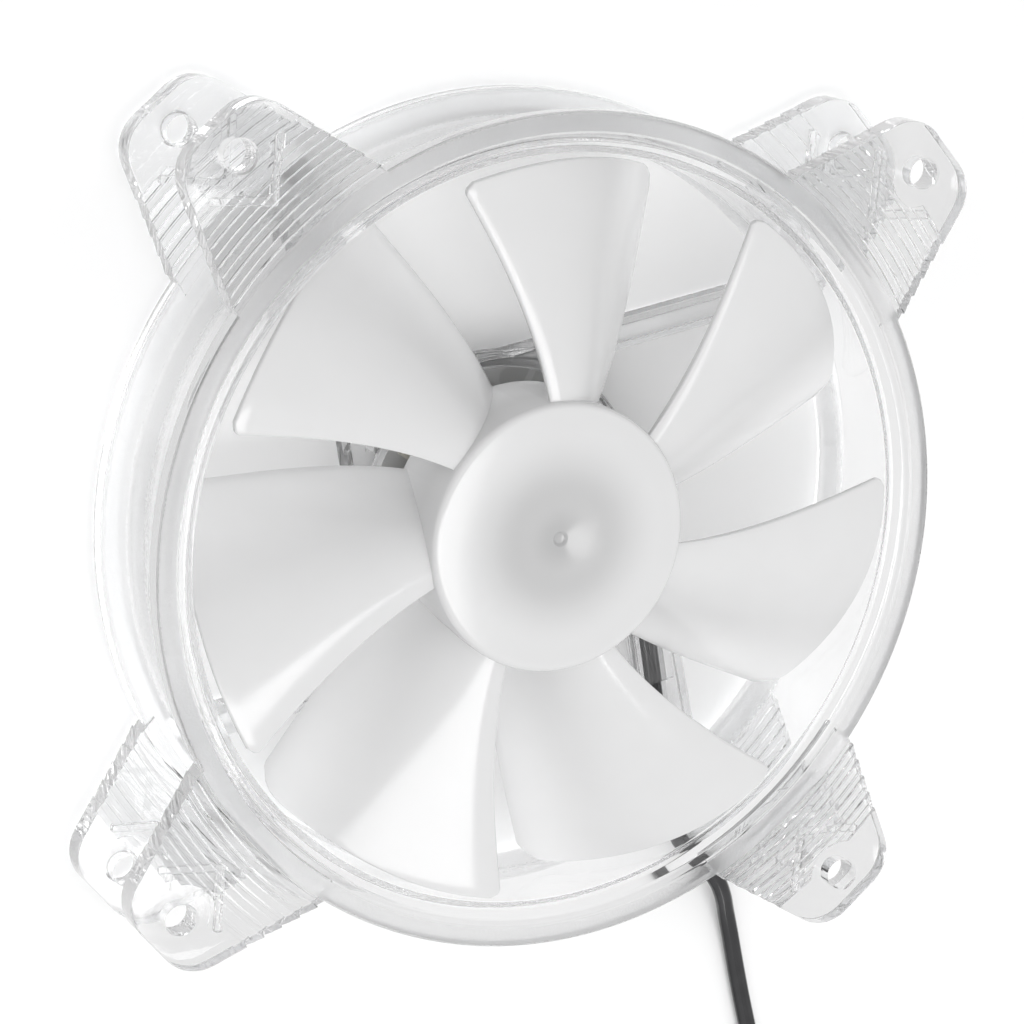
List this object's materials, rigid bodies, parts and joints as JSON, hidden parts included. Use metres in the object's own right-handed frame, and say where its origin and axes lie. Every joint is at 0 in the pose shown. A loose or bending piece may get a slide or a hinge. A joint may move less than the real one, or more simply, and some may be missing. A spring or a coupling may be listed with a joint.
{
  "type": "case fan",
  "caption": "Round-frame axial case fan: clear frame with ridged screw lugs, milky swept-blade impeller, sleeve-bearing motor and a flat twin lead with a plug.",
  "frame": {"origin": "centre of the rear face, on the shaft's axis; the loose lead, its coil and its plug are left out", "axes": "+Z along the shaft's axis from the rear (strut) face to the front (intake) face; the lead leaves between the two lugs at +X -Y"},
  "size_m": [0.1224, 0.1906, 0.025],
  "materials": {
    "clear_plastic": "clear, polished, matt front band",
    "milky_plastic": "milky translucent, semi-gloss",
    "black_plastic": "satin",
    "lead_jacket": "glossy black PVC",
    "nylon": "matt natural",
    "board": "satin solder mask",
    "label_film": "blank matt film",
    "steel": "turned",
    "lamination": "stacked laminations",
    "magnet": "bonded ferrite, matt",
    "bronze": "sintered, oil-filled",
    "brass": "turned",
    "copper": "enamelled wire",
    "tinned": "tin plated"
  },
  "bodies": {
    "stationary": {"frame": "clear_plastic", "rear_label": "label_film", "thrust_pad": "nylon", "sleeve_bearing": "bronze", "lower_oil_washer": "nylon", "upper_oil_washer": "nylon", "stator_core": "lamination", "upper_insulator": "nylon", "lower_insulator": "nylon", "winding_1": "copper", "winding_2": "copper", "winding_3": "copper", "winding_4": "copper", "winding_pin_1": "tinned", "winding_pin_2": "tinned", "winding_pin_3": "tinned", "circuit_board": "board", "driver_chip": "black_plastic", "capacitor": "nylon", "diode": "black_plastic", "solder_joint_1": "tinned", "solder_joint_2": "tinned", "inner_lead": "lead_jacket", "lead": "lead_jacket", "lead_coil": "lead_jacket", "coil_tie": "black_plastic", "connector_housing": "black_plastic", "crimp_contact_1": "tinned", "crimp_contact_2": "tinned"},
    "rotor": {"impeller": "milky_plastic", "rotor_yoke": "steel", "ring_magnet": "magnet", "shaft": "steel", "shaft_bush": "brass", "retaining_clip": "nylon"}
  },
  "joints": [
    {"name": "rotor_spin", "type": "hinge", "parent": "stationary", "child": "rotor", "pos_m": [0, 0, 0.0125], "axis": [0, 0, 1], "continuous": true}
  ]
}
